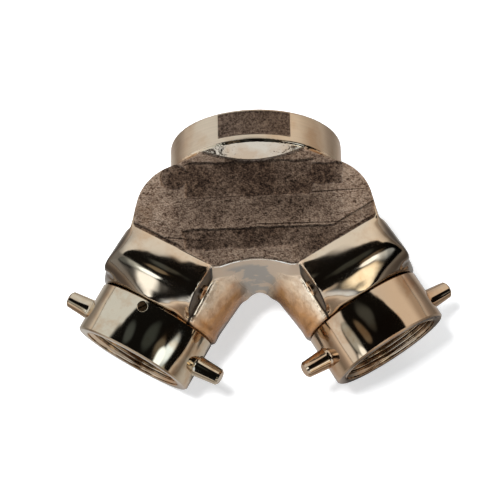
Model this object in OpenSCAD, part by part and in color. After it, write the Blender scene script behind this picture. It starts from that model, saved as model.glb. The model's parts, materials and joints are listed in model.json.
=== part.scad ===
// Two-way fire department connection: a cast wye body with one female pipe
// outlet, two splayed inlet arms with swinging clappers, and two ball-race
// hose swivels with pin lugs.
//
// Frame: the origin is the centre of the outlet's mouth, +Y points out of the
// outlet along its axis, +Z is square to the nameplate, and the part is
// symmetric about X = 0. Lengths are millimetres.

/* [Outlet hub] */
// outside diameter of the pipe hub
hub_d = 131.2; // [122:0.2:150]
// length of the hub's polished band
hub_l = 26.4; // [20:0.1:36]
// bore of the hub, the largest diameter of its pipe thread
pipe_bore_d = 114.4; // [110:0.1:117]
// depth of the pipe thread
pipe_thread_l = 27; // [18:0.5:34]
// length of the cone that drops from the band to the plate
shoulder_l = 9.9; // [6:0.1:14]
// width of the blank field cut into the band
field_w = 54; // [20:1:70]
// length of the blank field along the hub
field_l = 19.8; // [10:0.5:22]
// depth of the blank field
field_deep = 0.8; // [0.4:0.1:1.5]
// how far the blank field sits to the right of the middle
field_shift = 1.4; // [0:0.2:6]
// distance of the blank field's middle from the outlet's mouth
field_y = 11.6; // [10:0.2:15]

/* [Nameplate and chamber] */
// height of the nameplate's face above the outlet's axis
plate_z = 51.6; // [48:0.2:58]
// casting wall thickness
wall = 5.5; // [4:0.1:7]
// step from the hub's shoulder back to the plate
hub_step = 1.1; // [1:0.1:2]
// half width of the plate where it meets the hub
hub_side = 38; // [34:0.5:46]
// radius of the plate's rounded upper corners
corner_r = 39.5; // [34:0.5:42]
// sideways position of those corners' centres
corner_x = 49; // [45:0.5:52]
// distance of those centres behind the outlet's mouth
corner_y = 75.5; // [73:0.5:79]
// lean of the plate's side edges, degrees
edge_lean = 15; // [8:1:20]
// distance from the outlet's mouth to the plate's lower edges, along an arm
plate_reach = 121.5; // [118:0.5:124]
// half width of the arch between the arms, at the plate's face
arch_x = 32.5; // [28:0.5:34]
// underside level of the chamber's straight walls
chamber_floor = -16; // [-24:1:-10]

/* [Crotch pocket] */
// distance of the pocket's rear wall behind the outlet's mouth
crotch_y = 116; // [112:0.5:118]
// level where the pocket is narrowest
crotch_z = -8; // [-14:1:-2]
// radius of the pocket where it is narrowest
crotch_r = 10; // [7:0.5:12]
// half angle of the cone that hollows the pocket, degrees
pocket_half = 44; // [36:1:46]
// forward lean of the pocket's rear wall, degrees
pocket_lean = 1.5; // [1:0.1:4]

/* [Inlet arms] */
// angle of each arm to the outlet's axis, seen square to the plate, degrees
splay = 31.4; // [30:0.2:33]
// drop of each arm below the plate's plane, degrees
dip = 10.6; // [8:0.2:14]
// height where the arms' axes meet above the outlet's axis
arm_rise = 16; // [12:0.5:18]
// distance of that meeting point behind the outlet's mouth
arm_back = 5.3; // [3:0.1:8]
// outside diameter of an arm at its root
arm_root_d = 103; // [102:1:108]
// outside diameter of an arm at its end
arm_end_d = 97.2; // [96:0.5:102]
// lean of an arm's casting towards the crotch, about its rim, degrees
arm_lean = 2; // [0:0.1:4]
// height of the rim above the casting before it
rim_step = 0.8; // [0.3:0.1:3]
// distance from where the axes meet to an arm's end face
joint_s = 150; // [148:0.2:152]
// distance from where the axes meet to the centre of the root's dome
root_s = 75; // [72:1:78]
// length of the straight part at an arm's end
rim_l = 6; // [4:0.5:9]
// rounding of an arm's end
rim_round = 2; // [1:0.25:3]

/* [Hinge barrels] */
// outside diameter of the barrel over each clapper's hinge
barrel_d = 43; // [40:0.5:46]
// distance of the barrel's axis along the arm
barrel_s = 124; // [122:0.2:126]
// height of the barrel's crown above the nameplate's face
barrel_proud = 1; // [0.4:0.1:2]
// inner end of the barrel, from the arm's middle
barrel_in = 33; // [31:0.5:35]
// outer end of the barrel's dome, from the arm's middle
barrel_out = 42; // [38:0.5:43]
// rounding of a barrel's outer end
barrel_round = 20; // [17:0.5:21]

/* [Waterway] */
// bore of the clapper seat
way_d = 61; // [56:0.5:62]
// distance of the seat's face along the arm
seat_s = 133; // [132:0.2:134]
// thickness of the seat's web
seat_t = 8; // [6:0.5:9]
// bore of the swivel's nose
nose_bore_d = 66; // [62:0.5:68]
// outside diameter of the swivel's nose
nose_d = 81; // [79:0.2:83]
// length of the nose beyond the arm's end
nose_l = 16.4; // [15:0.2:18]

/* [Swivels] */
// outside diameter of a swivel
swivel_d = 93.2; // [91:0.2:96]
// length of a swivel
swivel_l = 39.3; // [36:0.1:42]
// gap between a swivel and its arm
swivel_gap = 0.4; // [0.2:0.1:1]
// radial running clearance of a swivel on its nose
run_gap = 0.05; // [0.02:0.01:0.1]
// bore of a swivel, the largest diameter of its hose thread
hose_bore_d = 78.1; // [76:0.1:80]
// widening of the thread's mouth, on the radius
lead_in = 1.5; // [1:0.1:3]
// rounding of the swivel's outer edges
swivel_round = 1.2; // [0.6:0.1:2]
// tip to tip span of the two pin lugs
lug_span = 133; // [128:0.5:138]
// diameter of a lug at its root
lug_root_d = 15.6; // [13:0.1:17]
// diameter of a lug at its tip
lug_tip_d = 12.8; // [11:0.1:14]
// distance of the lugs from the joint
lug_s = 20.6; // [18:0.2:23]
// radius of the flare round a lug's root
lug_flare = 3; // [2:0.25:4]
// turn of the left swivel's lugs above level, degrees
lug_roll_left = 0.6; // [-90:0.2:90]
// turn of the right swivel's lugs above level, degrees
lug_roll_right = -9.8; // [-90:0.2:90]

/* [Ball races] */
// diameter of a race ball
ball_d = 6.35; // [5:0.05:7]
// number of balls in a race
ball_count = 36; // [20:1:38]
// distance of the balls' row from the joint
ball_s = 6.3; // [5.5:0.1:9]
// diameter of the plug that closes the ball hole
plug_d = 7.6; // [7.4:0.1:9]
// angle of the left plug from the top of the arm, degrees
plug_turn_left = 0; // [0:1:360]
// angle of the right plug from the top of the arm, degrees
plug_turn_right = 160; // [0:1:360]
// thickness of the rubber hose gasket
gasket_t = 5; // [3:0.2:6]
// hole of the rubber hose gasket
gasket_bore_d = 64; // [60:0.5:68]

/* [Clappers] */
// diameter of a clapper's disc
clapper_d = 67; // [64:0.5:69]
// thickness of a clapper's disc
clapper_t = 6; // [5:0.1:7]
// thickness of the rubber facing
facing_t = 2.95; // [2:0.05:3.5]
// height of the hinge pin above the arm's axis
pin_n = 42; // [41:0.2:44]
// distance of the hinge pin along the arm
pin_s = 126; // [125:0.2:126.4]
// diameter of the hinge pin
pin_d = 8; // [6:0.1:9]
// outside diameter of the clapper's knuckle
knuckle_d = 13; // [12:0.2:14]
// width of the clapper's knuckle
knuckle_w = 26; // [20:0.5:30]
// diameter of the plug over the hinge pin's hole
cap_d = 11; // [9.5:0.1:12]
// how far that plug stands proud
cap_proud = 1.6; // [0.5:0.1:3]
// diameter of the facing's washer
washer_d = 28; // [22:0.5:34]
// thickness of the facing's washer
washer_t = 2.4; // [1.5:0.1:3]
// shank diameter of the facing's screw
screw_d = 6; // [5:0.1:8]

/* [Hidden] */
$fn = 96;
eps = 0.01;
fit = 0.05;
// the outlet end
hub_r = hub_d / 2;
neck_r = plate_z - 3;
neck_y = hub_l + shoulder_l * (hub_r - neck_r) / (hub_r - plate_z);
neck_bore_r = neck_r - wall;
// the arms
root_r = arm_root_d / 2;
end_r = arm_end_d / 2;
rim_s = joint_s - rim_l;
swivel_s = joint_s + swivel_gap;
nose_r = nose_d / 2;
nose_end = joint_s + nose_l;
race_r = nose_r + run_gap / 2;
ball_r = ball_d / 2;
groove_r = ball_r + 0.08;
// the barrels
barrel_r = barrel_d / 2;
barrel_n = (plate_z + barrel_proud - barrel_r - arm_rise + barrel_s * sin(dip)) / cos(dip);
barrel_mid = barrel_out - barrel_r;
barrel_y = along_arm([0, -arm_back]) + barrel_s * cos(dip) + barrel_n * sin(dip);
cavity_r = barrel_r - wall;
cavity_in = barrel_in - wall - 1.5;

// the swivels
swivel_r = swivel_d / 2;
swivel_bore_r = nose_r + run_gap;
hose_bore_r = hose_bore_d / 2;
gasket_s = nose_end + 0.15;
gasket_seat = gasket_s + gasket_t + 0.15;
mouth_s = swivel_s + swivel_l;
lug_l = (lug_span - swivel_d) / 2;
// the clappers
facing_s = seat_s - fit - facing_t;
clapper_s = facing_s - fit - clapper_t;
washer_s = seat_s;
pin_in = barrel_in - 3.5;
pin_out = barrel_out - 2.5;
bright = [0.86, 0.75, 0.58];
cast = [0.58, 0.47, 0.36];
rubber = [0.09, 0.09, 0.09];

// ---- placing ----

// puts its children on an arm: X across the arm and outwards, Y up from the
// arm, Z out along the arm; side is 1 for the right and -1 for the left
module on_arm(side) {
    mirror([side < 0 ? 1 : 0, 0, 0])
        translate([0, -arm_back, arm_rise]) rotate([90 + dip, 0, splay]) children();
}

module both_arms() {
    for (side = [-1, 1]) on_arm(side) children();
}

// a round bar across an arm, from x0 to x1, at height n and distance s
module cross_bar(r, x0, x1, n, s) {
    translate([x0, n, s]) rotate([0, 90, 0]) cylinder(r = r, h = x1 - x0);
}

// a disc or tube about an arm's axis, from s0 to s1
module ring(r, s0, s1, bore = 0) {
    difference() {
        translate([0, 0, s0]) cylinder(r = r, h = s1 - s0);
        if (bore > 0) translate([0, 0, s0 - 1]) cylinder(r = bore, h = s1 - s0 + 2);
    }
}

// ---- the body's outline ----

// the plate's corner points on the right side, moved in by inset
function side_hub(inset) = [hub_side - inset, -hub_l - hub_step - inset];
function on_corner(r, a) = [corner_x + r * cos(a), r * sin(a) - corner_y];
function side_top(inset) = on_corner(corner_r - inset - 0.5, 72);
function side_touch(inset) = on_corner(corner_r - inset - 0.15, edge_lean);
function along_arm(p) = p[0] * sin(splay) - p[1] * cos(splay);
function side_low(inset) = side_touch(inset)
    + (plate_reach - inset - along_arm(side_touch(inset))) / cos(splay - edge_lean)
        * [sin(edge_lean), -cos(edge_lean)];
function arch_corner(inset) = [arch_x,
    (arch_x * sin(splay) - plate_reach + inset) / cos(splay)];
function side_points(inset) = [side_hub(inset), side_top(inset), side_touch(inset), side_low(inset),
    arch_corner(inset)];
function flipped(points) = [for (i = [len(points) - 1:-1:0]) [-points[i][0], points[i][1]]];

module plan(inset = 0) {
    for (m = [0, 1]) mirror([m, 0])
        translate([corner_x, -corner_y]) circle(r = corner_r - inset);
    polygon(concat(side_points(inset), flipped(side_points(inset))));
}

// the pocket between the arms: a cone whose rear line is the pocket's wall,
// and a round post below its narrowest place
module pocket(grow = 0) {
    // the cone's tip, below the narrowest place
    tip = crotch_r / tan(pocket_half);
    translate([0, -crotch_y, crotch_z]) rotate([pocket_lean, 0, 0])
        translate([0, 0, -tip]) rotate([pocket_half, 0, 0])
            translate([0, 0, -grow / sin(pocket_half)])
                cylinder(r1 = 0, r2 = 200 * tan(pocket_half), h = 200);
    translate([0, -crotch_y - crotch_r - 0.5, crotch_z - 60])
        cylinder(r = crotch_r + grow, h = 62);
}

// ---- the body ----

module hub_solid() {
    rotate([90, 0, 0]) rotate_extrude() polygon([[0, 0], [hub_r - 1.2, 0], [hub_r, 1.2],
        [hub_r, hub_l], [neck_r, neck_y], [neck_r, corner_y], [0, corner_y]]);
}

module chamber_solid() {
    difference() {
        union() {
            translate([0, 0, chamber_floor]) linear_extrude(plate_z - chamber_floor) plan();
            // the web that fills the arms' meeting
            translate([0, 0, crotch_z - 1]) linear_extrude(crotch_r)
                polygon([[-corner_x / 2, -corner_y], [corner_x / 2, -corner_y],
                    [crotch_r + 5, -crotch_y - 3], [-crotch_r - 5, -crotch_y - 3]]);
        }
        pocket();
    }
}

module arm_solid() {
    // the casting leans a little towards the crotch
    translate([0, 0, rim_s + 2]) rotate([0, arm_lean, 0]) translate([0, 0, root_s - rim_s - 2]) {
        sphere(r = root_r);
        cylinder(r1 = root_r, r2 = end_r - rim_step, h = rim_s + 2 - root_s);
    }
    rotate_extrude() polygon([[0, rim_s], [end_r - 0.4, rim_s], [end_r, rim_s + 0.4],
        [end_r, joint_s - rim_round], [end_r - rim_round, joint_s], [0, joint_s]]);
    ring(nose_r, joint_s - 1, nose_end);
}

// a barrel: a round bar whose back runs level to the nameplate, with its
// outer end rounded down
module barrel_solid() {
    back = barrel_y - plate_reach + 0.5;
    translate([0, barrel_n, barrel_s]) rotate([-dip, 0, 0]) intersection() {
        translate([-barrel_in, 0, 0]) rotate([90, 0, 90])
            linear_extrude(barrel_in + barrel_out + 1) {
                circle(r = barrel_r);
                translate([-barrel_r, -back]) square([2 * barrel_r, back]);
            }
        translate([0, 0, -back - 1]) linear_extrude(back + barrel_r + 2) {
            translate([barrel_out - barrel_round, barrel_r + 0.6 - barrel_round])
                circle(r = barrel_round);
            translate([-barrel_in - 1, -barrel_r - 1])
                square([barrel_in + barrel_out - barrel_round + 1, 2 * barrel_r + 3]);
        }
    }
}

module chamber_void() {
    difference() {
        translate([0, 0, chamber_floor + wall])
            linear_extrude(plate_z - chamber_floor - 2 * wall) plan(wall);
        pocket(wall);
    }
}

module arm_void() {
    translate([0, 0, root_s]) sphere(r = root_r - wall);
    translate([0, 0, root_s]) cylinder(r1 = root_r - wall, r2 = end_r - wall,
        h = seat_s - root_s);
    ring(way_d / 2, seat_s - 1, seat_s + seat_t + 1);
    ring(nose_bore_d / 2, seat_s + seat_t, nose_end + 1);
    // the barrel's cavity, open to the arm only behind the seat
    difference() {
        union() {
            cross_bar(cavity_r, -cavity_in, barrel_mid, barrel_n, barrel_s);
            translate([barrel_mid, barrel_n, barrel_s]) sphere(r = cavity_r);
        }
        translate([-60, -60, seat_s]) cube([120, 60 + way_d / 2 + seat_t + 4, 60]);
    }
}

module pin_hole() {
    cross_bar(pin_d / 2 + fit, -pin_in - 1, pin_out, pin_n, pin_s);
    cross_bar(cap_d / 2, -barrel_in - cap_proud - 2, -pin_in, pin_n, pin_s);
}

module ball_groove() {
    translate([0, 0, swivel_s + ball_s]) rotate_extrude()
        translate([race_r, 0]) circle(r = groove_r, $fn = 48);
}

module blank_field() {
    intersection() {
        translate([field_shift - field_w / 2, -field_y - field_l / 2, 0])
            cube([field_w, field_l, hub_r + 5]);
        rotate([90, 0, 0]) difference() {
            cylinder(r = hub_r + 2, h = hub_l);
            translate([0, 0, -1]) cylinder(r = hub_r - field_deep, h = hub_l + 2);
        }
    }
}

module body() {
    color(cast) difference() {
        union() {
            hub_solid();
            chamber_solid();
            // the arms' roots stay below the plate's face
            intersection() {
                both_arms() arm_solid();
                translate([-200, -300, -150]) cube([400, 300, 149.6 + plate_z]);
            }
            both_arms() barrel_solid();
        }
        // the outlet's pipe bore, then the neck
        rotate([90, 0, 0]) {
            translate([0, 0, -1]) cylinder(d = pipe_bore_d, h = pipe_thread_l + 1);
            cylinder(r = neck_bore_r, h = corner_y);
        }
        chamber_void();
        // the arms' hollows stop short of the hub
        difference() {
            both_arms() arm_void();
            translate([-100, -hub_l - wall, -100]) cube([200, 100, 200]);
        }
        both_arms() {
            pin_hole();
            ball_groove();
        }
        blank_field();
    }
}

// ---- the swivels ----

module lug(turn) {
    rotate([0, 0, turn]) translate([0, 0, swivel_s + lug_s]) rotate([0, 90, 0])
        rotate_extrude() difference() {
            polygon([[0, swivel_r - 5], [lug_root_d / 2 + lug_flare, swivel_r - 5],
                [lug_root_d / 2 + lug_flare, swivel_r - 1.2],
                [lug_root_d / 2, swivel_r + lug_flare - 1.2],
                [lug_tip_d / 2, lug_span / 2 - 1.4], [lug_tip_d / 2 - 1.4, lug_span / 2],
                [0, lug_span / 2]]);
            translate([lug_root_d / 2 + lug_flare, swivel_r + lug_flare - 1.2])
                circle(r = lug_flare, $fn = 48);
        }
}

module plug_shape(r, deep, turn) {
    rotate([0, 0, turn + 90]) translate([swivel_r - deep, 0, swivel_s + ball_s])
        rotate([0, 90, 0]) cylinder(r = r, h = deep + 1);
}

module swivel(side, turn, plug_turn) {
    color(bright) on_arm(side) difference() {
        union() {
            rotate_extrude() polygon([
                [swivel_bore_r - 1, swivel_s], [swivel_r - swivel_round, swivel_s],
                [swivel_r, swivel_s + swivel_round], [swivel_r, mouth_s - swivel_round],
                [swivel_r - swivel_round, mouth_s], [hose_bore_r - 1, mouth_s],
                [hose_bore_r - 1, gasket_seat], [swivel_bore_r - 1, gasket_seat]]);
            for (half = [0, 180]) lug(turn + half);
        }
        ring(swivel_bore_r, swivel_s - 1, gasket_seat);
        ring(hose_bore_r, gasket_seat - 1, mouth_s + 1);
        translate([0, 0, mouth_s - lead_in])
            cylinder(r1 = hose_bore_r, r2 = hose_bore_r + lead_in + 1, h = lead_in + 1);
        ball_groove();
        plug_shape(plug_d / 2 + fit, swivel_r - race_r, plug_turn);
    }
}

module ball_plug(side, plug_turn) {
    color(bright) on_arm(side) difference() {
        intersection() {
            plug_shape(plug_d / 2, swivel_r - race_r - groove_r - fit, plug_turn);
            ring(swivel_r - 0.3, swivel_s, mouth_s);
        }
        // the screwdriver slot
        rotate([0, 0, plug_turn + 90]) translate([swivel_r, 0, swivel_s + ball_s])
            rotate([35, 0, 0]) cube([3, 1.1, plug_d + 2], center = true);
    }
}

module ball_race(side) {
    color(bright) on_arm(side) translate([0, 0, swivel_s + ball_s])
        for (i = [0:ball_count - 1]) rotate([0, 0, (i + 0.5) * 360 / ball_count])
            translate([race_r, 0, 0]) sphere(r = ball_r, $fn = 24);
}

module hose_gasket(side) {
    color(rubber) on_arm(side)
        ring(swivel_bore_r - 0.2, gasket_s, gasket_s + gasket_t, gasket_bore_d / 2);
}

// ---- the clappers ----

module clapper(side) {
    arm_w = knuckle_w / 2 - 1;
    color(cast) on_arm(side) difference() {
        union() {
            ring(clapper_d / 2, clapper_s, clapper_s + clapper_t);
            // a stiffening boss and rib on the back
            ring(washer_d / 2, clapper_s - 2.5, clapper_s + 1);
            translate([-arm_w / 2, 0, clapper_s - 2.5]) cube([arm_w, pin_n - 4, 4]);
            // the knuckle and the neck that carries it
            translate([-knuckle_w / 2, clapper_d / 2 - 8, clapper_s])
                cube([knuckle_w, pin_n - clapper_d / 2 + 8, clapper_t]);
            cross_bar(knuckle_d / 2, -knuckle_w / 2, knuckle_w / 2, pin_n, pin_s);
        }
        cross_bar(pin_d / 2 + fit, -knuckle_w, knuckle_w, pin_n, pin_s);
        ring(screw_d / 2 + fit, clapper_s + 1, clapper_s + clapper_t + 1);
    }
}

module clapper_facing(side) {
    color(rubber) on_arm(side)
        ring(clapper_d / 2 - 0.6, facing_s, facing_s + facing_t, screw_d / 2 + fit);
}

module facing_washer(side) {
    color(bright) on_arm(side)
        ring(washer_d / 2, washer_s, washer_s + washer_t, screw_d / 2 + fit);
}

module facing_screw(side) {
    head_s = washer_s + washer_t + fit;
    color(bright) on_arm(side) difference() {
        union() {
            ring(screw_d / 2, clapper_s + 1.5, head_s + 1);
            ring(screw_d, head_s, head_s + 3.6);
        }
        translate([0, 0, head_s + 3.4]) cube([screw_d * 2 + 2, 1.4, 2.4], center = true);
    }
}

module hinge_pin(side) {
    color(bright) on_arm(side) cross_bar(pin_d / 2, -pin_in, pin_out - 0.5, pin_n, pin_s);
}

module hinge_plugs() {
    color(bright) both_arms() difference() {
        cross_bar(cap_d / 2 - fit, -barrel_in - cap_proud, -pin_in - 0.2, pin_n, pin_s);
        // a square socket for the driver
        translate([-barrel_in - cap_proud, pin_n, pin_s]) cube([3, 4.5, 4.5], center = true);
    }
}

body();
swivel(-1, lug_roll_left, plug_turn_left);  // swivel_left
swivel(1, lug_roll_right, plug_turn_right);  // swivel_right
ball_race(-1);  // ball_race_left
ball_race(1);  // ball_race_right
ball_plug(-1, plug_turn_left);  // ball_plug_left
ball_plug(1, plug_turn_right);  // ball_plug_right
hose_gasket(-1);  // hose_gasket_left
hose_gasket(1);  // hose_gasket_right
clapper(-1);  // clapper_left
clapper(1);  // clapper_right
clapper_facing(-1);  // clapper_facing_left
clapper_facing(1);  // clapper_facing_right
facing_washer(-1);  // facing_washer_left
facing_washer(1);  // facing_washer_right
facing_screw(-1);  // facing_screw_left
facing_screw(1);  // facing_screw_right
hinge_pin(-1);  // hinge_pin_left
hinge_pin(1);  // hinge_pin_right
hinge_plugs();
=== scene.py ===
"""The looks of a two-way fire department connection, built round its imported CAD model."""
import json
import math
from types import SimpleNamespace

import bmesh
import bpy
from mathutils import Matrix, Vector
from mathutils.bvhtree import BVHTree


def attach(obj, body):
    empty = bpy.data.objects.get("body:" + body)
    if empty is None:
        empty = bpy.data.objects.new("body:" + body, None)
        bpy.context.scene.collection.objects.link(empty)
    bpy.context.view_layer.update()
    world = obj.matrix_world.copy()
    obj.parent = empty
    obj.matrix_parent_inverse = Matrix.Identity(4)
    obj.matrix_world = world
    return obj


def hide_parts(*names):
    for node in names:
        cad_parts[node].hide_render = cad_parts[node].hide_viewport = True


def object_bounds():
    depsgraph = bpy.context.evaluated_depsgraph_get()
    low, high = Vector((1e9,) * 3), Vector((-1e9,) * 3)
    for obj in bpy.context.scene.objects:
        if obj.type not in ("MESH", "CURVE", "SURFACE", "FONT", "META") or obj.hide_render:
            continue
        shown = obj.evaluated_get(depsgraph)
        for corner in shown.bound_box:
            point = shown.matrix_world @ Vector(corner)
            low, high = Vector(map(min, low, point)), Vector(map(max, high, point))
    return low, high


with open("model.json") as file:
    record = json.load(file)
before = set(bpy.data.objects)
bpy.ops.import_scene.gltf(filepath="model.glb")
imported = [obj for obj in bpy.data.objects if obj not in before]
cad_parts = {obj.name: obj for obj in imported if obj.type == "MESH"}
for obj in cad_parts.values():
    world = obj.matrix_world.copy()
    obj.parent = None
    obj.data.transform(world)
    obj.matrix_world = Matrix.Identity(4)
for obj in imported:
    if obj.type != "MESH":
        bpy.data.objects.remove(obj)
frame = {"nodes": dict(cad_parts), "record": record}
cad_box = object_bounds()
record = frame["record"]
mounts = {m["name"]: m for m in record["mounts"]}

SIDES = {"left": -1, "right": 1}
MM = 0.001

# the body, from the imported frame
OUTLET_R = mounts["outlet"]["dims"]["r_mm"] * MM
OUTLET_L = mounts["outlet"]["dims"]["length_mm"] * MM
HOSE_R = mounts["left_inlet"]["dims"]["r_mm"] * MM
HOSE_L = mounts["left_inlet"]["dims"]["length_mm"] * MM
PLATE_Z = 0.0516                # height of the rough plate's face
PLATE_REACH = 0.1215            # how far the plate reaches along an arm
ARM_AXIS = Vector(mounts["right_inlet"]["axis"])
SPLAY = math.atan2(ARM_AXIS.x, -ARM_AXIS.y)
PLATE_BACK = -0.0264            # where the plate meets the hub
ARM_Z = 0.016                   # the height where the arms' axes meet
DIP = math.tan(math.asin(-ARM_AXIS.z))
ARM_BACK = 0.0053               # how far behind the origin the arms' axes meet
FIELD_X, FIELD_Y = 0.0014, -0.0116      # centre of the hub's sunk field
FIELD_W, FIELD_L = 0.054, 0.0198        # its width and length

# the threads' ridges
HOSE_PITCH, HOSE_DEPTH, LEAD_IN = 0.00339, 0.0021, 0.0015
PIPE_PITCH, PIPE_DEPTH = 0.003175, 0.0022
MOUTH = 0.0097                  # from the hose mounts' points out to the mouths
BELOW_BORE = 0.00004            # how far the ridges' roots stay inside the plain bore

# the body's skin
VOXEL = 0.0009
EDGE_PASSES, FLOW_PASSES = 4, 70
MOST_TRIANGLES = 180000

# colours
BRONZE = (0.80, 0.62, 0.44)
STAIN = (0.62, 0.38, 0.21)
# the left swivel is a little greyer than the body, the right one browner
SWIVEL_TONE = {"left": (0.72, 0.60, 0.44), "right": (0.66, 0.47, 0.31)}

# shading
RING_R = 0.0039                 # radius of the countersunk ring round a ball plug
CROWN = 3.4                     # how strongly the swivels are domed along their axis
BARREL_DOME = 5.0               # how strongly the barrels' ends look outwards

# bare places on the plate: low x, high x, low y, high y, softness of the edge, depth from 0 to 1
BANDS = [
    (-0.0500, 0.0440, -0.0655, -0.0375, 0.0014, 0.85),
    (-0.0610, 0.0620, -0.0870, -0.0685, 0.0050, 0.35),
    (-0.0520, 0.0600, -0.1085, -0.0925, 0.0012, 0.75),
    (0.0430, 0.0660, -0.0580, -0.0410, 0.0008, 0.9),
]
# a bare disc on the plate: centre and radius
DISCS = [(-0.0595, -0.0482, 0.0102)]
# painted shade lines across the plate, as under steps in the casting: both ends
CREASES = [
    (-0.054, -0.0668, 0.078, -0.0640),
    (0.000, -0.0895, 0.078, -0.0905),
    (-0.078, -0.0965, -0.040, -0.1010),
]

BLACK = (0.006, 0.006, 0.006)
# patches of the surroundings: towards, full within, gone beyond (both in degrees), light
LOBES = [
    ((0.00, -0.38, 0.925), 42, 46, BLACK),
    ((0.80, -0.35, 0.48), 30, 36, BLACK),
    ((-0.55, -0.10, 0.82), 14, 20, BLACK),
    ((-0.60, -0.62, 0.50), 22, 27, BLACK),
    ((-0.66, -0.74, 0.08), 14, 20, BLACK),
    ((0.66, -0.74, 0.10), 16, 22, BLACK),
    ((0.36, -0.26, 0.89), 4, 13, (0.045, 0.055, 0.055)),
    ((0.62, -0.42, 0.66), 3, 9, (0.16, 0.14, 0.11)),
    ((-0.46, -0.29, 0.84), 3, 8, (0.20, 0.18, 0.14)),
    ((0.80, -0.45, 0.40), 4, 10, (1.3, 1.6, 1.9)),
    ((-0.25, -0.02, 0.97), 3, 11, (0.07, 0.085, 0.09)),
    ((-0.93, -0.36, 0.02), 11, 20, (0.95, 1.05, 1.15)),
    ((-0.76, -0.40, 0.50), 5, 13, (0.50, 0.60, 0.66)),
    ((-0.66, -0.53, 0.53), 4, 8, (1.6, 1.95, 2.3)),
    ((0.66, -0.53, 0.53), 4, 8, (1.6, 1.9, 2.2)),
    ((-0.72, -0.62, 0.30), 3, 9, (1.4, 1.6, 1.8)),
    ((0.66, -0.70, 0.26), 5, 11, (1.5, 1.5, 1.3)),
    ((0.0, -1.0, 0.06), 24, 36, (0.80, 0.95, 1.15)),
]


# ---- helpers for materials ----

class Nodes:
    """A short way to write a node tree."""

    def __init__(self, tree):
        self.tree = tree

    def add(self, kind, inputs=None, **settings):
        node = self.tree.nodes.new(kind)
        for key, value in settings.items():
            setattr(node, key, value)
        for key, value in (inputs or {}).items():
            if isinstance(value, bpy.types.NodeSocket):
                self.tree.links.new(value, node.inputs[key])
            else:
                node.inputs[key].default_value = value
        return node

    def math(self, operation, a, b=0.0):
        return self.add("ShaderNodeMath", {0: a, 1: b}, operation=operation).outputs[0]

    def both(self, a, b):
        return self.math("MULTIPLY", a, b)

    def either(self, a, b):
        return self.math("MAXIMUM", a, b)

    def plus(self, a, b):
        return self.math("ADD", a, b)

    def minus(self, a, b):
        return self.math("SUBTRACT", a, b)

    def vector(self, operation, a, b=None, output="Vector"):
        inputs = {0: a} if b is None else {0: a, 1: b}
        return self.add("ShaderNodeVectorMath", inputs, operation=operation).outputs[output]

    def between(self, value, low, high, soft):
        """1 where value is from low to high, with soft edges."""
        up = self.add("ShaderNodeMapRange",
                      {"Value": value, "From Min": low - soft, "From Max": low + soft},
                      interpolation_type="SMOOTHSTEP").outputs[0]
        down = self.add("ShaderNodeMapRange",
                        {"Value": value, "From Min": high - soft, "From Max": high + soft,
                         "To Min": 1.0, "To Max": 0.0}, interpolation_type="SMOOTHSTEP").outputs[0]
        return self.math("MULTIPLY", up, down)

    def noise(self, vector, scale, detail=2.0, roughness=0.5):
        return self.add("ShaderNodeTexNoise", {"Vector": vector, "Scale": scale, "Detail": detail,
                                               "Roughness": roughness}).outputs[0]

    def ramp(self, value, stops):
        node = self.add("ShaderNodeValToRGB", {"Fac": value})
        ramp = node.color_ramp
        while len(ramp.elements) < len(stops):
            ramp.elements.new(0.5)
        for element, (place, colour) in zip(ramp.elements, stops):
            element.position = place
            element.color = (*colour, 1.0)
        return node.outputs[0]

    def spots(self, value, low, high, most=1.0):
        """A mask for mixing: 0 below low, the most above high."""
        return self.ramp(value, [(low, (0.0, 0.0, 0.0)), (high, (most, most, most))])

    def holes(self, value, low, high):
        """A mask for mixing: 1 below low, 0 above high."""
        return self.ramp(value, [(low, (1.0, 1.0, 1.0)), (high, (0.0, 0.0, 0.0))])

    def mix(self, factor, a, b):
        node = self.add("ShaderNodeMix", data_type="RGBA")
        for index, value in ((0, factor), (6, a), (7, b)):
            if isinstance(value, bpy.types.NodeSocket):
                self.tree.links.new(value, node.inputs[index])
            else:
                node.inputs[index].default_value = value if index == 0 else (*value, 1.0)
        return node.outputs[2]

    def blend(self, factor, a, b):
        """A number that runs from a to b."""
        return self.add("ShaderNodeMix", {0: factor, 2: a, 3: b}, data_type="FLOAT").outputs[0]

    def bump(self, height, strength, distance, normal=None):
        inputs = {"Height": height, "Strength": strength, "Distance": distance}
        if normal is not None:
            inputs["Normal"] = normal
        return self.add("ShaderNodeBump", inputs).outputs[0]


def new_material(name):
    material = bpy.data.materials.new(name)
    material.use_nodes = True
    tree = material.node_tree
    shader = next(n for n in tree.nodes if n.type == "BSDF_PRINCIPLED")
    return material, Nodes(tree), shader


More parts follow.
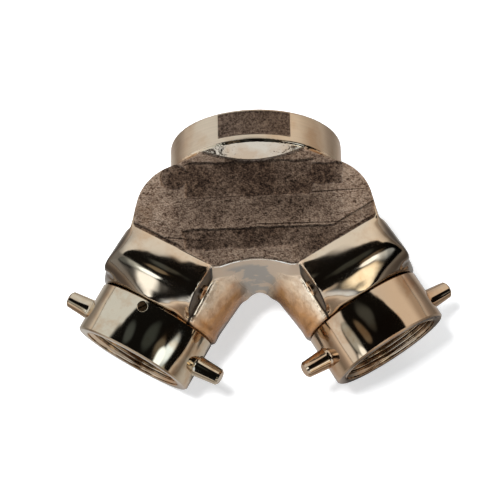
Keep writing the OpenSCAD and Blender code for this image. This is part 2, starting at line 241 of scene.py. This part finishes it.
def plain_metal(name, colour, roughness, wave=0.0, wave_scale=45.0, ring=None, crown=None):
    """One metal. ring: a place and a direction with a dark countersunk ring round it; crown: a place
    and an axis, along which the surface is slightly domed."""
    material, n, shader = new_material(name)
    shader.inputs["Metallic"].default_value = 1.0
    place = n.add("ShaderNodeTexCoord").outputs["Object"]
    tone = n.noise(place, 60.0, 3.0)
    shown = n.mix(tone, [c * 0.9 for c in colour], colour)
    height = n.noise(place, wave_scale, 1.0)
    normal = n.bump(height, 1.0, wave) if wave else None
    if crown:
        at, axis = crown
        off = n.vector("SUBTRACT", place, at)
        along = n.vector("DOT_PRODUCT", off, axis, "Value")
        dome = n.both(n.both(along, along), -CROWN)
        normal = n.bump(dome, 1.0, 1.0, normal)
    if ring:
        at, axis = ring
        off = n.vector("SUBTRACT", place, at)
        beside = n.vector("CROSS_PRODUCT", off, axis)
        far = n.vector("LENGTH", beside, output="Value")
        above = n.vector("DOT_PRODUCT", off, axis, "Value")
        sunk = n.both(n.between(far, -1.0, RING_R, 0.0003), n.between(above, -0.004, 1.0, 0.001))
        stain = n.both(n.between(far, -1.0, RING_R - 0.0005, 0.0004), sunk)
        shown = n.mix(stain, shown, (0.22, 0.13, 0.06))
        normal = n.bump(n.minus(1.0, sunk), 1.0, 0.0003, normal)
    stains = n.spots(n.noise(place, 38.0, 4.0, 0.6), 0.48, 0.64)
    browner = [c * f for c, f in zip(colour, (0.76, 0.58, 0.44))]
    shown = n.mix(n.both(stains, 0.78), shown, browner)
    n.tree.links.new(shown, shader.inputs["Base Color"])
    fine = n.noise(place, 420.0, 2.0)
    n.tree.links.new(n.blend(fine, roughness * 0.8, roughness * 1.3), shader.inputs["Roughness"])
    if normal:
        n.tree.links.new(normal, shader.inputs["Normal"])
    return material


def rubber():
    material, _, shader = new_material("rubber")
    shader.inputs["Base Color"].default_value = (0.012, 0.012, 0.013, 1)
    shader.inputs["Roughness"].default_value = 0.6
    return material


def body_places(n, coords):
    """Where the body's kinds of surface lie, each from 0 to 1, and the coordinates they are told by."""
    axes = n.add("ShaderNodeSeparateXYZ", {0: coords}).outputs
    x, y, z = axes[0], axes[1], axes[2]
    side_x = n.math("ABSOLUTE", x)
    behind = n.plus(y, ARM_BACK)
    # along an arm from the outlet's mouth, and across it outwards
    along = n.minus(n.both(side_x, math.sin(SPLAY)), n.both(y, math.cos(SPLAY)))
    across = n.plus(n.both(side_x, math.cos(SPLAY)), n.both(behind, math.sin(SPLAY)))

    # the plate: everything level with its face, short of the barrels
    level = n.between(z, PLATE_Z - 0.0006, PLATE_Z + 0.0006, 0.0002)
    short = n.between(along, -1.0, PLATE_REACH - 0.0007, 0.0004)
    front = n.between(y, -0.1300, PLATE_BACK - 0.001, 0.001)
    plate = n.both(n.both(level, short), front)
    # the sunk field on the hub
    in_width = n.between(x, FIELD_X - FIELD_W / 2, FIELD_X + FIELD_W / 2, 0.0004)
    in_length = n.between(y, FIELD_Y - FIELD_L / 2, FIELD_Y + FIELD_L / 2, 0.0004)
    field = n.both(n.both(in_width, in_length), n.between(z, 0.05, 1.0, 0.001))
    hub = n.between(y, PLATE_BACK + 0.0008, 1.0, 0.0004)
    # the flare under the hub, and the rough tubes beside the crotch
    neck = n.both(n.between(y, -0.040, PLATE_BACK - 0.0006, 0.0006), n.between(z, 0.0522, 1.0, 0.0004))
    tube = n.both(n.between(across, -1.0, -0.0350, 0.0015), n.between(along, 0.104, 1.0, 0.004))
    tube = n.both(tube, n.between(side_x, 0.010, 1.0, 0.004))
    # the saddle between the tubes, with a painted highlight along its arris under the plate
    high = n.between(n.plus(z, n.both(n.noise(coords, 60.0, 2.0), 0.010)), 0.036, 1.0, 0.002)
    narrow = n.minus(side_x, n.both(z, 0.25))
    high = n.either(high, n.between(narrow, -1.0, 0.010, 0.005))
    saddle = n.both(n.between(side_x, -1.0, 0.0345, 0.002), n.between(y, -1.0, -0.1125, 0.0006))
    saddle = n.both(saddle, high)
    arris = n.both(saddle, n.both(n.between(z, 0.0494, 0.0512, 0.0004), n.minus(1.0, plate)))
    saddle = n.both(saddle, n.minus(1.0, n.either(plate, arris)))
    tube = n.both(n.both(tube, n.between(z, -1.0, 0.0500, 0.001)), n.minus(1.0, saddle))
    return SimpleNamespace(x=x, y=y, z=z, side_x=side_x, along=along, across=across, plate=plate,
                           field=field, hub=hub, neck=neck, tube=tube, saddle=saddle, arris=arris)


def plate_marks(n, coords, m):
    """The plate's bare places, where lettering would be, the painted shade lines across it, and painted
    shade at its outer corners by the barrels.
    """
    x, y, side_x, along = m.x, m.y, m.side_x, m.along
    bands = None
    sway = n.noise(coords, 90.0, 3.0)
    sway_x = n.plus(x, n.both(n.minus(sway, 0.5), 0.009))
    sway_y = n.plus(y, n.both(n.minus(sway, 0.5), 0.005))
    for x0, x1, y0, y1, soft, deep in BANDS:
        band = n.both(n.both(n.between(sway_x, x0, x1, soft), n.between(sway_y, y0, y1, soft)), deep)
        bands = band if bands is None else n.either(bands, band)
    for at_x, at_y, radius in DISCS:
        far = n.vector("DISTANCE", coords, (at_x, at_y, PLATE_Z), "Value")
        bands = n.either(bands, n.between(far, -1.0, radius, 0.0006))
    slanted = n.both(n.between(along, PLATE_REACH - 0.0125, 1.0, 0.0010),
                     n.between(x, 0.030, 1.0, 0.004))
    bands = n.either(bands, n.both(slanted, 0.7))

    creases = None
    for x0, y0, x1, y1 in CREASES:
        slope = (y1 - y0) / (x1 - x0)
        off = n.minus(y, n.plus(n.both(x, slope), y0 - slope * x0))
        line = n.both(n.between(off, -0.0004, 0.0004, 0.0006), n.between(x, x0, x1, 0.008))
        line = n.both(line, 0.40)
        creases = line if creases is None else n.either(creases, line)
    # painted shade: a dark wedge where the barrels rise from the plate's outer corners
    wedge = n.both(n.between(along, PLATE_REACH - 0.0032, 1.0, 0.0010),
                   n.between(side_x, 0.058, 1.0, 0.008))
    creases = n.either(creases, wedge)
    return bands, creases


def plate_metal(n, coords, m, bands, creases):
    """The rough cast plate: its colour, the colour of its dark places, and its height."""
    x, y, side_x = m.x, m.y, m.side_x
    sand = n.noise(coords, 820.0, 2.0, 0.5)
    grain = n.noise(coords, 400.0, 3.0, 0.6)
    lumps = n.noise(coords, 110.0, 3.0, 0.6)
    sand_height = n.plus(n.both(sand, 0.40), n.plus(n.both(grain, 0.40), n.both(lumps, 0.20)))
    patina = n.ramp(sand_height, [(0.38, (0.10, 0.058, 0.038)), (0.46, (0.40, 0.260, 0.178)),
                                  (0.58, (0.70, 0.50, 0.36))])
    dark_patina = n.ramp(sand_height, [(0.38, (0.018, 0.011, 0.008)), (0.49, (0.085, 0.050, 0.034)),
                                       (0.63, (0.27, 0.170, 0.110))])
    broad = n.spots(n.noise(coords, 34.0, 3.0), 0.40, 0.72, 0.4)
    middle = n.both(n.between(x, -0.062, 0.064, 0.012), n.between(y, -0.116, -0.034, 0.010))
    broad = n.plus(broad, n.both(middle, 0.40))
    shade = n.plus(n.both(bands, 0.48), n.plus(broad, creases))
    plate_colour = n.mix(n.math("MINIMUM", shade, 1.0), patina, dark_patina)
    rim = n.spots(n.noise(coords, 60.0, 2.0), 0.45, 0.60)
    worn = n.both(n.between(side_x, 0.074, 1.0, 0.008), rim)
    plate_colour = n.mix(n.both(worn, 0.45), plate_colour, (0.30, 0.17, 0.095))
    return plate_colour, dark_patina, sand_height


def polished_metal(n, coords, m):
    """The polished metal, browner where the buffing wheel couldn't reach, darker in hollows, with painted
    highlight, reflection and shade on the tubes by the crotch, a painted highlight on the saddle's arris,
    painted dark reflection on the arms' outer sides, and its barrels' end faces painted dark.
    """
    z, side_x, along, across = m.z, m.side_x, m.along, m.across
    hub, tube, saddle, arris = m.hub, m.tube, m.saddle, m.arris
    tone = n.noise(coords, 26.0, 3.0)
    polished = n.mix(tone, BRONZE, [c * 0.92 for c in BRONZE])
    stains = n.spots(n.noise(coords, 38.0, 4.0, 0.6), 0.48, 0.64)
    polished = n.mix(n.both(stains, 0.62), polished, STAIN)
    # darker and browner in hollow places: patina, with painted shade as of occlusion there
    corner = n.add("ShaderNodeNewGeometry").outputs["Pointiness"]
    hollow = n.holes(corner, 0.455, 0.492)
    polished = n.mix(hollow, polished, (0.23, 0.13, 0.065))

    # the hub's fine turning marks
    stretched = n.add("ShaderNodeMapping", {0: coords, 3: (40.0, 900.0, 40.0)}).outputs[0]
    brushed = n.noise(stretched, 1.0, 2.0)
    lathe_marks = n.ramp(brushed, [(0.35, (0.42, 0.33, 0.24)), (0.65, (0.62, 0.50, 0.38))])
    polished = n.mix(n.both(hub, 0.22), polished, lathe_marks)

    # the tubes' cast, pitted skin, coloured by height with painted light: a painted highlight high up,
    # painted reflection of the other tube in orange-brown below it, painted shade in grey lowest
    pits = n.holes(n.noise(coords, 130.0, 4.0, 0.65), 0.40, 0.52)
    depth = n.plus(z, n.both(n.noise(coords, 50.0, 3.0), 0.024))
    rise = n.add("ShaderNodeMapRange", {"Value": depth, "From Min": -0.030, "From Max": 0.050}).outputs[0]
    skin_and_painted_light = n.ramp(rise, [(0.30, (0.20, 0.17, 0.15)), (0.45, (0.36, 0.16, 0.055)),
                          (0.64, (0.56, 0.29, 0.12)), (0.80, (0.72, 0.56, 0.40))])
    polished = n.mix(tube, polished, skin_and_painted_light)
    polished = n.mix(n.both(pits, n.both(tube, 0.35)), polished, (0.30, 0.16, 0.08))

    # the saddle, with grey blotches, and the painted highlight on its arris
    polished = n.mix(n.both(saddle, 0.9), polished, (0.43, 0.325, 0.235))
    grey = n.spots(n.noise(coords, 55.0, 3.0, 0.6), 0.47, 0.53, 0.8)
    low_middle = n.both(n.between(z, -1.0, 0.042, 0.004), n.between(side_x, -1.0, 0.022, 0.004))
    grey = n.both(n.both(grey, saddle), low_middle)
    polished = n.mix(grey, polished, (0.25, 0.235, 0.210))
    # a painted highlight: pale bronze along the saddle's arris
    polished = n.mix(arris, polished, (0.98, 0.88, 0.74))

    # the barrels' inner end faces, painted near-black as shade and dark reflection
    face = n.both(n.between(across, -0.0338, -0.0322, 0.0002), n.between(along, 0.100, 1.0, 0.001))
    face = n.both(face, n.between(z, 0.0, 0.0500, 0.001))
    polished = n.mix(n.both(face, 0.95), polished, (0.030, 0.024, 0.019))

    # painted dark reflection on the arms' outer sides, behind the swivels
    drift = n.both(n.minus(n.noise(coords, 40.0, 3.0), 0.5), 0.012)
    forward = n.minus(n.plus(along, drift), 0.1420)
    reach = n.plus(n.plus(across, drift), n.both(n.either(forward, 0.0), 1.6))
    outer = n.both(n.between(reach, 0.0300, 1.0, 0.0060), n.between(along, 0.1260, 0.1640, 0.0110))
    polished = n.mix(n.both(outer, 0.85), polished, (0.075, 0.058, 0.042))
    return polished, face


def body_normal(n, coords, m, raised_parts):
    """The barrels' slight dome, by which their ends look outwards, and the roughness of cast places."""
    sand_height, bands, creases = raised_parts
    x, z, along, across = m.x, m.z, m.along, m.across
    plate, field, neck, tube = m.plate, m.field, m.neck, m.tube
    barrel = n.both(n.between(along, PLATE_REACH + 0.002, 0.1585, 0.002),
                    n.between(across, -0.0332, 1.0, 0.001))
    barrel = n.both(barrel, n.between(z, 0.022, 1.0, 0.006))
    lean = n.both(n.minus(across, 0.004), BARREL_DOME)
    outwards_x = n.both(n.math("SIGN", x), math.cos(SPLAY))
    outwards = n.add("ShaderNodeCombineXYZ", {0: outwards_x, 1: math.sin(SPLAY), 2: 0.0}).outputs[0]
    leaned = n.add("ShaderNodeVectorMath", {0: outwards, 3: n.both(lean, barrel)},
                   operation="SCALE").outputs[0]
    flat = n.add("ShaderNodeNewGeometry").outputs["Normal"]
    domed = n.vector("NORMALIZE", n.vector("ADD", flat, leaned))
    ripple = n.noise(coords, 24.0, 2.0)
    polish = n.bump(ripple, 0.6, 0.0016, domed)
    flaws = n.noise(coords, 75.0, 4.0, 0.55)
    cast_skin = n.bump(n.both(flaws, n.either(tube, n.both(neck, 0.9))), 1.0, 0.0014, polish)
    raised = n.minus(sand_height, n.either(bands, creases))
    return n.bump(n.both(raised, n.either(plate, field)), 1.0, 0.0009, cast_skin)


def body_metal():
    """Polished casting, with a rough dark plate and rough tubes beside the crotch."""
    material, n, shader = new_material("cast_bronze")
    coords = n.add("ShaderNodeTexCoord").outputs["Object"]
    m = body_places(n, coords)
    bands, creases = plate_marks(n, coords, m)
    plate_colour, dark_patina, sand_height = plate_metal(n, coords, m, bands, creases)
    polished, face = polished_metal(n, coords, m)
    plate_colour = n.mix(n.both(m.field, 0.6), plate_colour, dark_patina)
    cast_places = n.either(m.plate, m.field)
    n.tree.links.new(n.mix(cast_places, polished, plate_colour), shader.inputs["Base Color"])

    metal = n.minus(1.0, n.plus(n.both(m.saddle, 0.75), n.both(m.tube, 0.4)))
    n.tree.links.new(metal, shader.inputs["Metallic"])
    dullness = n.plus(n.both(m.hub, 0.20), n.both(m.tube, 0.12))
    dullness = n.plus(dullness, n.both(m.saddle, 0.24))
    dullness = n.plus(dullness, n.both(face, 0.25))
    rough = n.plus(dullness, n.both(cast_places, 0.32))
    n.tree.links.new(n.plus(rough, 0.09), shader.inputs["Roughness"])

    normal = body_normal(n, coords, m, (sand_height, bands, creases))
    n.tree.links.new(normal, shader.inputs["Normal"])
    return material


def dress(node, material):
    """Give a CAD node one material."""
    mesh = frame["nodes"][node].data
    mesh.materials.clear()
    mesh.materials.append(material)


def smooth_step(low, high, value):
    """0 below low, 1 above high, and a smooth rise between."""
    t = min(1.0, max(0.0, (value - low) / (high - low)))
    return t * t * (3.0 - 2.0 * t)


def on_arm(point):
    """A point in its own arm's frame: along it, across it outwards, and above it."""
    side_x = abs(point.x)
    back = point.y + ARM_BACK
    along = side_x * math.sin(SPLAY) - back * math.cos(SPLAY)
    across = side_x * math.cos(SPLAY) + back * math.sin(SPLAY)
    return along, across, point.z - ARM_Z + along * DIP


def flow(point):
    """How far a point of the body takes part in the long soft blends round barrels and crotch."""
    along, across, lift = on_arm(point)
    weight = smooth_step(0.0435, 0.0455, math.hypot(across, lift)) * smooth_step(0.103, 0.112, along)
    weight *= (1.0 - smooth_step(0.1545, 0.1560, along)) * smooth_step(-0.030, -0.020, across)
    crotch = (1.0 - smooth_step(0.030, 0.036, abs(point.x))) * smooth_step(0.108, 0.114, -point.y)
    return max(weight, crotch * (1.0 - smooth_step(0.038, 0.046, point.z)))


def fill_hollow(mesh, sign):
    """Fill the notch between a barrel and the rim beyond it up to their common hull."""
    zone = []
    for vertex in mesh.vertices:
        if vertex.co.x * sign < 0.02:
            continue
        along, across, lift = on_arm(vertex.co)
        beside = 0.138 < along < 0.1550 and across > -0.030 and lift > -0.012
        if beside and math.hypot(across, lift) > 0.0440:
            zone.append(vertex)
    hull = bmesh.new()
    for vertex in zone[::2]:
        hull.verts.new(vertex.co)
    made = bmesh.ops.convex_hull(hull, input=hull.verts)
    bmesh.ops.delete(hull, geom=list(set(made["geom_interior"] + made["geom_unused"])), context="VERTS")
    tree = BVHTree.FromBMesh(hull)
    hull.free()
    axis = Vector((ARM_AXIS.x * sign, ARM_AXIS.y, ARM_AXIS.z))
    start = Vector((0.0, -ARM_BACK, ARM_Z))
    for vertex in zone:
        off = vertex.co - start
        spoke = (off - axis * off.dot(axis)).normalized()
        hit, _, _, far = tree.ray_cast(vertex.co + spoke * 0.0001, spoke)
        if hit is not None and far < 0.008:
            vertex.co += spoke * far * 0.9


def skin(node, body):
    """A copy of a CAD node with softly rounded edges, as cast and polished."""
    source = frame["nodes"][node]
    rough = source.copy()
    rough.data = source.data.copy()
    bpy.context.scene.collection.objects.link(rough)
    remesh = rough.modifiers.new("remesh", "REMESH")
    remesh.mode = "VOXEL"
    remesh.voxel_size = VOXEL
    remesh.use_smooth_shade = True
    bpy.context.view_layer.update()
    graph = bpy.context.evaluated_depsgraph_get()
    mesh = bpy.data.meshes.new_from_object(rough.evaluated_get(graph))
    bpy.data.objects.remove(rough)
    for sign in (-1, 1):
        fill_hollow(mesh, sign)
    piece = bpy.data.objects.new(node + "_skin", mesh)
    bpy.context.scene.collection.objects.link(piece)
    group = piece.vertex_groups.new(name="flow")
    for vertex in mesh.vertices:
        weight = flow(vertex.co)
        if weight > 0.01:
            group.add([vertex.index], weight, "REPLACE")
    blend = piece.modifiers.new("blend", "SMOOTH")
    blend.factor = 0.5
    blend.iterations = FLOW_PASSES
    blend.vertex_group = "flow"
    smooth = piece.modifiers.new("smooth", "SMOOTH")
    smooth.factor = 0.5
    smooth.iterations = EDGE_PASSES
    count = sum(len(polygon.vertices) - 2 for polygon in mesh.polygons)
    if count > MOST_TRIANGLES:
        fewer = piece.modifiers.new("fewer", "DECIMATE")
        fewer.ratio = MOST_TRIANGLES / count
    mesh.materials.clear()
    mesh.materials.append(source.data.materials[0])
    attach(piece, body)
    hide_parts(node)


def thread(name, body, place, root_r, crest_r, length, pitch, lead, material):
    """A female thread's ridges in a plain bore; place puts +Z out of the mouth, which is at z = 0."""
    around, per_turn = 168, 10
    rows = int(length / pitch * per_turn)
    verts, faces = [], []
    for i in range(rows + 1):
        s = -length + length * i / rows
        widest = root_r + lead + s if lead else root_r
        for j in range(around):
            turn = j / around
            u = (s / pitch - turn) % 1.0
            ridge = min(1.0, max(0.0, 1.45 * (1.0 - abs(2.0 * u - 1.0)) - 0.12))
            fade = min(1.0, (s + length) / pitch)
            r = root_r - BELOW_BORE - (root_r - crest_r) * ridge * fade
            if lead and s > -(lead + root_r - crest_r):
                r = max(r, min(widest, root_r - BELOW_BORE))
            angle = 2 * math.pi * turn
            verts.append(place @ Vector((r * math.cos(angle), r * math.sin(angle), s)))
    for z in (-(lead or 0.0002), -length):
        for j in range(around):
            angle = 2 * math.pi * j / around
            r = root_r + 0.0003
            verts.append(place @ Vector((r * math.cos(angle), r * math.sin(angle), z)))
    total = rows + 3
    for i in range(total):
        for j in range(around):
            k = (j + 1) % around
            a, b = i * around, ((i + 1) % total) * around
            faces.append((a + j, a + k, b + k, b + j))
    mesh = bpy.data.meshes.new(name)
    mesh.from_pydata([tuple(v) for v in verts], [], faces)
    mesh.update()
    for polygon in mesh.polygons:
        polygon.use_smooth = True
    mesh.materials.append(material)
    piece = bpy.data.objects.new(name, mesh)
    bpy.context.scene.collection.objects.link(piece)
    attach(piece, body)


def mouth_place(mount, out):
    """The matrix that puts z = 0 at a bore's mouth, with +Z out of it."""
    axis = Vector(mounts[mount]["axis"])
    at = Vector(mounts[mount]["pos_m"]) + axis * out
    turn = axis.to_track_quat("Z", "Y").to_matrix().to_4x4()
    return Matrix.Translation(at) @ turn


# ---- the pieces ----

cast = body_metal()
plug_rings = {}
for side in SIDES:
    plug = frame["nodes"]["ball_plug_" + side]
    corners = [plug.matrix_world @ Vector(corner) for corner in plug.bound_box]
    middle = sum(corners, Vector()) / 8
    axis = Vector(mounts[side + "_inlet"]["axis"])
    spoke = middle - Vector(mounts[side + "_inlet"]["pos_m"])
    spoke = (spoke - axis * spoke.dot(axis)).normalized()
    plug_rings[side] = (middle, spoke)
turned = {}
for side in SIDES:
    axis = Vector(mounts[side + "_inlet"]["axis"])
    middle = Vector(mounts[side + "_inlet"]["pos_m"]) - axis * 0.007
    turned[side] = plain_metal("polished_" + side, SWIVEL_TONE[side], 0.07, 0.0032, 21.0,
                               plug_rings[side], (middle, axis))
bright = plain_metal("polished_bronze", BRONZE, 0.07, 0.0006)
plain = plain_metal("plain_bronze", (0.50, 0.37, 0.24), 0.3)
aged = plain_metal("aged_bronze", (0.17, 0.095, 0.045), 0.3)
steel = plain_metal("steel", (0.55, 0.54, 0.52), 0.2)
black = rubber()

KINDS = {"body": cast, "swivel": bright, "ball_race": steel, "ball_plug": aged, "hose_gasket": black,
         "clapper": plain, "clapper_facing": black, "facing_washer": plain, "facing_screw": steel,
         "hinge_pin": steel, "hinge_plugs": bright}
for name in frame["nodes"]:
    dress(name, KINDS[name.replace("_left", "").replace("_right", "")])
for side in SIDES:
    dress("swivel_" + side, turned[side])

skin("body", "wye")

for side in SIDES:
    thread("hose_thread_" + side, side + "_swivel", mouth_place(side + "_inlet", MOUTH), HOSE_R,
           HOSE_R - HOSE_DEPTH, HOSE_L + LEAD_IN, HOSE_PITCH, LEAD_IN, bright)
thread("pipe_thread", "wye", mouth_place("outlet", 0.0), OUTLET_R, OUTLET_R - PIPE_DEPTH, OUTLET_L,
       PIPE_PITCH, 0.0, plain)


# ---- the studio ----

def floor(height):
    """A plain pale floor. Reflections see it unlit, with painted shade: darker near the part than far
    off.
    """
    half = 3.0
    mesh = bpy.data.meshes.new("floor")
    mesh.from_pydata([(-half, -half, height), (half, -half, height), (half, half, height),
                      (-half, half, height)], [], [(0, 1, 2, 3)])
    piece = bpy.data.objects.new("floor", mesh)
    bpy.context.scene.collection.objects.link(piece)
    material, n, shader = new_material("floor")
    shader.inputs["Roughness"].default_value = 0.9
    shader.inputs["Emission Color"].default_value = (1, 1, 1, 1)
    seen = n.add("ShaderNodeLightPath").outputs["Is Glossy Ray"]
    n.tree.links.new(n.blend(seen, 0.54, 0.0), shader.inputs["Emission Strength"])
    place = n.add("ShaderNodeTexCoord").outputs["Object"]
    away = n.vector("DISTANCE", place, (0.0, -0.08, height), "Value")
    # painted shade for reflections only, by distance from the part
    far = n.ramp(away, [(0.14, (0.34, 0.33, 0.32)), (0.22, (0.13, 0.12, 0.11)),
                        (0.34, (0.20, 0.18, 0.17)), (0.60, (0.42, 0.40, 0.38)),
                        (0.95, (0.52, 0.50, 0.48))])
    n.tree.links.new(n.mix(seen, (0.72, 0.72, 0.72), far), shader.inputs["Base Color"])
    shader.inputs["Specular IOR Level"].default_value = 0.0
    mesh.materials.append(material)


def surroundings():
    """A pale room, with soft dark and light patches that the polished metal reflects."""
    world = bpy.data.worlds.new("studio")
    bpy.context.scene.world = world
    world.use_nodes = True
    n = Nodes(world.node_tree)
    back = next(node for node in world.node_tree.nodes if node.type == "BACKGROUND")
    direction = n.add("ShaderNodeTexCoord").outputs["Generated"]
    x, _, z = n.add("ShaderNodeSeparateXYZ", {0: direction}).outputs
    wobble = n.noise(direction, 2.6, 2.0)
    warm = n.add("ShaderNodeMapRange", {"Value": x, "From Min": -0.35, "From Max": 0.65},
                 interpolation_type="SMOOTHSTEP").outputs[0]
    high = n.add("ShaderNodeMapRange", {"Value": z, "From Min": 0.15, "From Max": 0.50},
                 interpolation_type="SMOOTHSTEP").outputs[0]
    colour = n.mix(warm, (0.80, 0.88, 0.96), n.mix(high, (0.50, 0.45, 0.40), (0.90, 0.88, 0.84)))
    for toward, inner, outer, shade in LOBES:
        aim = Vector(toward).normalized()
        near = n.vector("DOT_PRODUCT", direction, aim, "Value")
        near = n.plus(near, n.both(n.minus(wobble, 0.5), 0.5 * (1 - math.cos(math.radians(outer)))))
        edge, core = math.cos(math.radians(outer)), math.cos(math.radians(inner))
        lobe = n.add("ShaderNodeMapRange", {"Value": near, "From Min": edge, "From Max": core},
                     interpolation_type="SMOOTHSTEP").outputs[0]
        colour = n.mix(lobe, colour, shade)
    n.tree.links.new(colour, back.inputs["Color"])
    back.inputs["Strength"].default_value = 1.0


def area_light(name, place, target, size, power, colour, glossy=True):
    data = bpy.data.lights.new(name, "AREA")
    data.shape = "RECTANGLE"
    data.size, data.size_y = size
    data.energy = power
    data.color = colour
    light = bpy.data.objects.new(name, data)
    light.location = place
    light.rotation_euler = (Vector(target) - Vector(place)).to_track_quat("-Z", "Y").to_euler()
    light.visible_glossy = glossy
    bpy.context.scene.collection.objects.link(light)


def camera():
    data = bpy.data.cameras.new("camera")
    data.sensor_width = 36.0
    data.lens = 190.1
    data.clip_end = 50.0
    piece = bpy.data.objects.new("camera", data)
    turn = (Matrix.Rotation(math.radians(-0.995), 3, "Z") @ Matrix.Rotation(math.radians(3.087), 3, "Y")
            @ Matrix.Rotation(math.radians(25.0), 3, "X"))
    piece.matrix_world = Matrix.Translation((0.0769, -0.9330, 1.8100)) @ turn.to_4x4()
    bpy.context.scene.collection.objects.link(piece)
    bpy.context.scene.camera = piece


bpy.context.scene.view_settings.view_transform = "Standard"
floor(cad_box[0][2])
surroundings()
area_light("key", (-0.42, -0.36, 1.9), (0, -0.08, 0), (0.5, 0.5), 60, (1, 1, 1), glossy=False)
camera()
